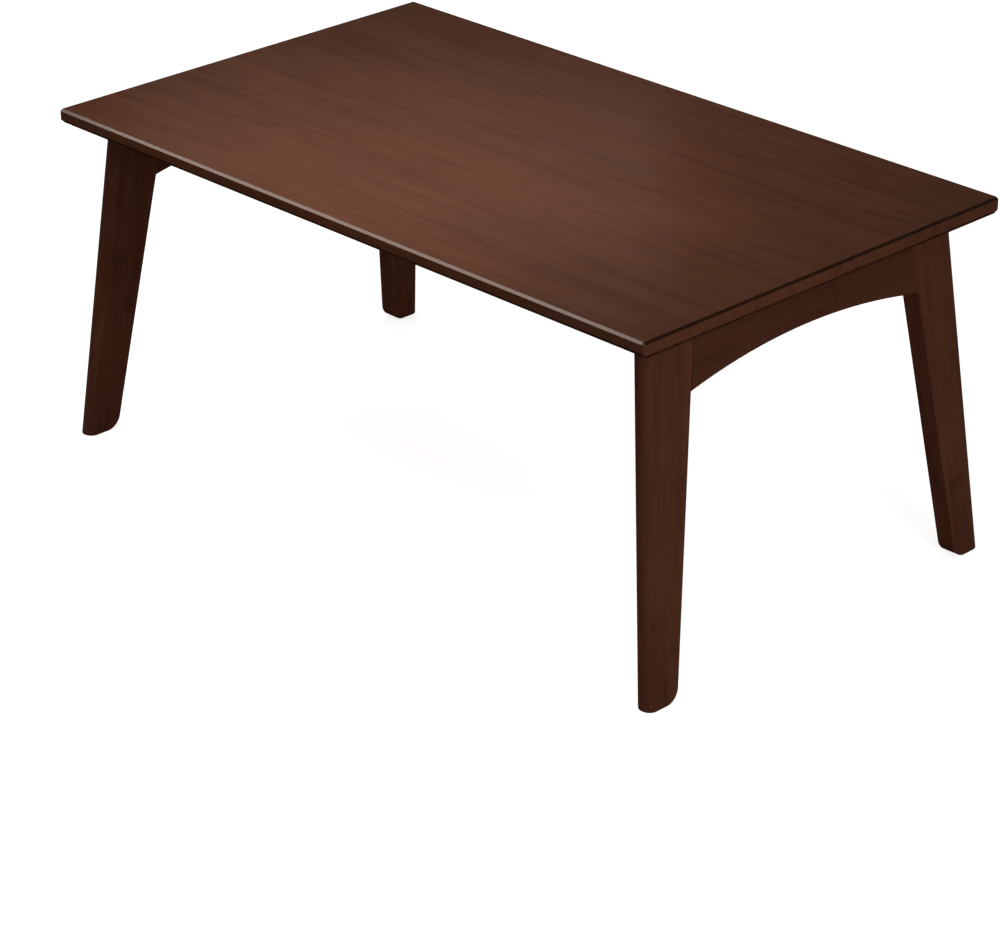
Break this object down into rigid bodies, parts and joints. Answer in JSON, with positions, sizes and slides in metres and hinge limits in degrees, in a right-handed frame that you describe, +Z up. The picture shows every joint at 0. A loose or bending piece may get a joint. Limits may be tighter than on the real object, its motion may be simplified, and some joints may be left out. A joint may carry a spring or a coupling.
{
  "type": "folding coffee table",
  "caption": "Low rectangular bamboo table on two splayed leg frames with arched rails that hinge flat against the underside and are held by a springy lock strip.",
  "frame": {"origin": "on the floor under the middle of the tabletop", "axes": "+X along the long side, +Y along the short side, +Z up; the table stands open"},
  "size_m": [0.8208, 0.482, 0.362],
  "materials": {
    "top_bamboo": "dark walnut stain under satin lacquer",
    "frame_bamboo": "dark walnut stain under satin lacquer",
    "strip_bamboo": "dark walnut stain under satin lacquer",
    "dowel_bamboo": "bare",
    "hinge_steel": "bright zinc",
    "screw_steel": "bright zinc",
    "black_screw": "black oxide"
  },
  "bodies": {
    "table": {"tabletop": "top_bamboo", "lock_strip": "strip_bamboo", "strip_spacer_block": "strip_bamboo", "strip_screws": "black_screw", "right_front_hinge_table_leaf": "hinge_steel", "right_front_hinge_pin": "hinge_steel", "right_front_table_leaf_screws": "screw_steel", "right_rear_hinge_table_leaf": "hinge_steel", "right_rear_hinge_pin": "hinge_steel", "right_rear_table_leaf_screws": "screw_steel", "left_front_hinge_table_leaf": "hinge_steel", "left_front_hinge_pin": "hinge_steel", "left_front_table_leaf_screws": "screw_steel", "left_rear_hinge_table_leaf": "hinge_steel", "left_rear_hinge_pin": "hinge_steel", "left_rear_table_leaf_screws": "screw_steel"},
    "right_leg_frame": {"right_apron_rail": "frame_bamboo", "right_front_leg": "frame_bamboo", "right_front_joint_dowels": "dowel_bamboo", "right_front_hinge_frame_leaf": "hinge_steel", "right_front_frame_leaf_screws": "screw_steel", "right_rear_leg": "frame_bamboo", "right_rear_joint_dowels": "dowel_bamboo", "right_rear_hinge_frame_leaf": "hinge_steel", "right_rear_frame_leaf_screws": "screw_steel"},
    "left_leg_frame": {"left_apron_rail": "frame_bamboo", "left_front_leg": "frame_bamboo", "left_front_joint_dowels": "dowel_bamboo", "left_front_hinge_frame_leaf": "hinge_steel", "left_front_frame_leaf_screws": "screw_steel", "left_rear_leg": "frame_bamboo", "left_rear_joint_dowels": "dowel_bamboo", "left_rear_hinge_frame_leaf": "hinge_steel", "left_rear_frame_leaf_screws": "screw_steel"}
  },
  "joints": [
    {"name": "right_frame_hinge", "type": "hinge", "parent": "table", "child": "right_leg_frame", "pos_m": [0.34901, 0, 0.3432], "axis": [0, 1, 0], "range_deg": [0, 96.4], "deforming": ["lock_strip"]},
    {"name": "left_frame_hinge", "type": "hinge", "parent": "table", "child": "left_leg_frame", "pos_m": [-0.34901, 0, 0.3432], "axis": [0, -1, 0], "range_deg": [0, 96.4], "deforming": ["lock_strip"]}
  ]
}
